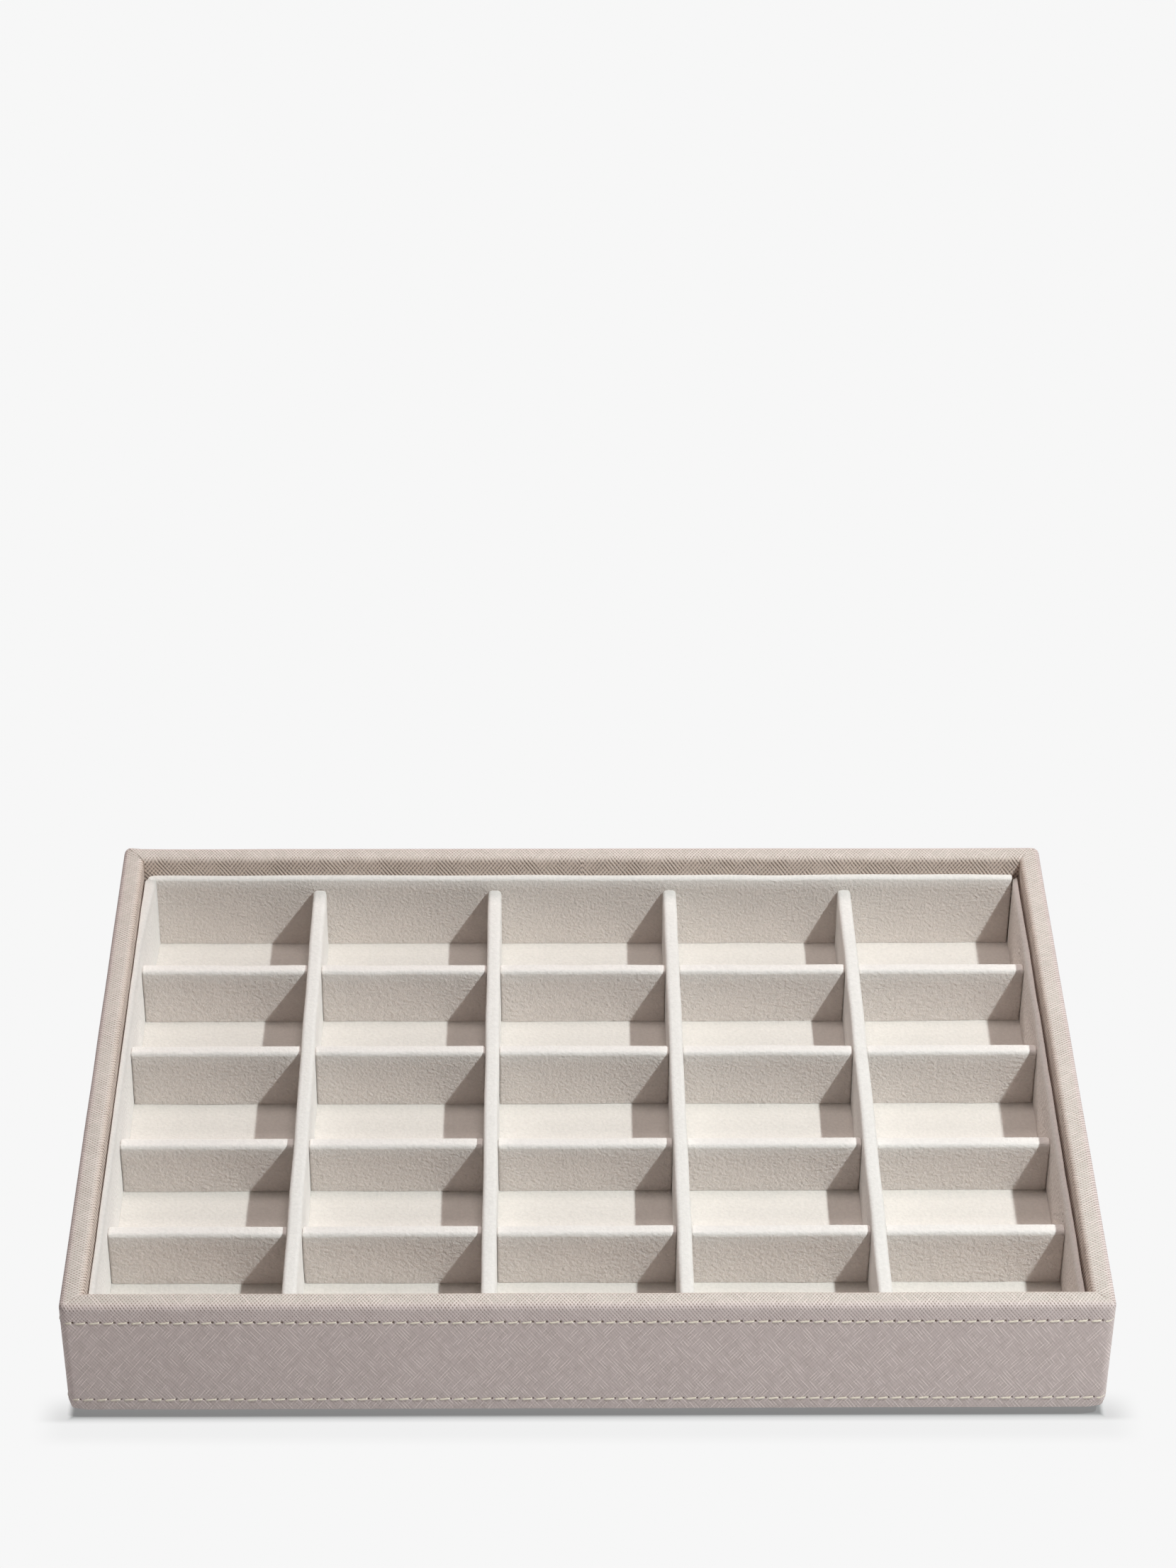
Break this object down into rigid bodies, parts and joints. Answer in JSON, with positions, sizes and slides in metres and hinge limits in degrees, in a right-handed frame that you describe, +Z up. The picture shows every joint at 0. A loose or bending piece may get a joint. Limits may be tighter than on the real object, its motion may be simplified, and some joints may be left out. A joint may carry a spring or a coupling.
{
  "type": "stacking jewellery tray",
  "caption": "Open rectangular stacking jewellery tray with stitched leatherette walls, a velvet-lined grid of compartments and an inset locating plinth.",
  "frame": {"origin": "on the surface that the tray stands on, below the middle of its footprint", "axes": "+X along the long side, +Y from the front to the back, +Z up"},
  "size_m": [0.25, 0.18, 0.0369],
  "materials": {
    "leatherette": "cross-grained leatherette, satin",
    "thread": "twisted sewing thread",
    "fibreboard": "raw fibreboard",
    "card": "raw grey card",
    "lining_velvet": "short-pile velvet",
    "plinth_velvet": "short-pile velvet"
  },
  "bodies": {
    "root": {"leatherette_wrap": "leatherette", "top_stitching": "thread", "bottom_stitching": "thread", "front_wall_board": "fibreboard", "back_wall_board": "fibreboard", "left_wall_board": "fibreboard", "right_wall_board": "fibreboard", "base_board": "fibreboard", "plinth_board": "card", "plinth_cover": "plinth_velvet", "floor_pad": "lining_velvet", "front_liner": "lining_velvet", "back_liner": "lining_velvet", "left_liner": "lining_velvet", "right_liner": "lining_velvet", "column_divider_1": "lining_velvet", "column_divider_2": "lining_velvet", "column_divider_3": "lining_velvet", "column_divider_4": "lining_velvet", "row_divider_1_1": "lining_velvet", "row_divider_1_2": "lining_velvet", "row_divider_1_3": "lining_velvet", "row_divider_1_4": "lining_velvet", "row_divider_1_5": "lining_velvet", "row_divider_2_1": "lining_velvet", "row_divider_2_2": "lining_velvet", "row_divider_2_3": "lining_velvet", "row_divider_2_4": "lining_velvet", "row_divider_2_5": "lining_velvet", "row_divider_3_1": "lining_velvet", "row_divider_3_2": "lining_velvet", "row_divider_3_3": "lining_velvet", "row_divider_3_4": "lining_velvet", "row_divider_3_5": "lining_velvet", "row_divider_4_1": "lining_velvet", "row_divider_4_2": "lining_velvet", "row_divider_4_3": "lining_velvet", "row_divider_4_4": "lining_velvet", "row_divider_4_5": "lining_velvet"}
  },
  "joints": []
}
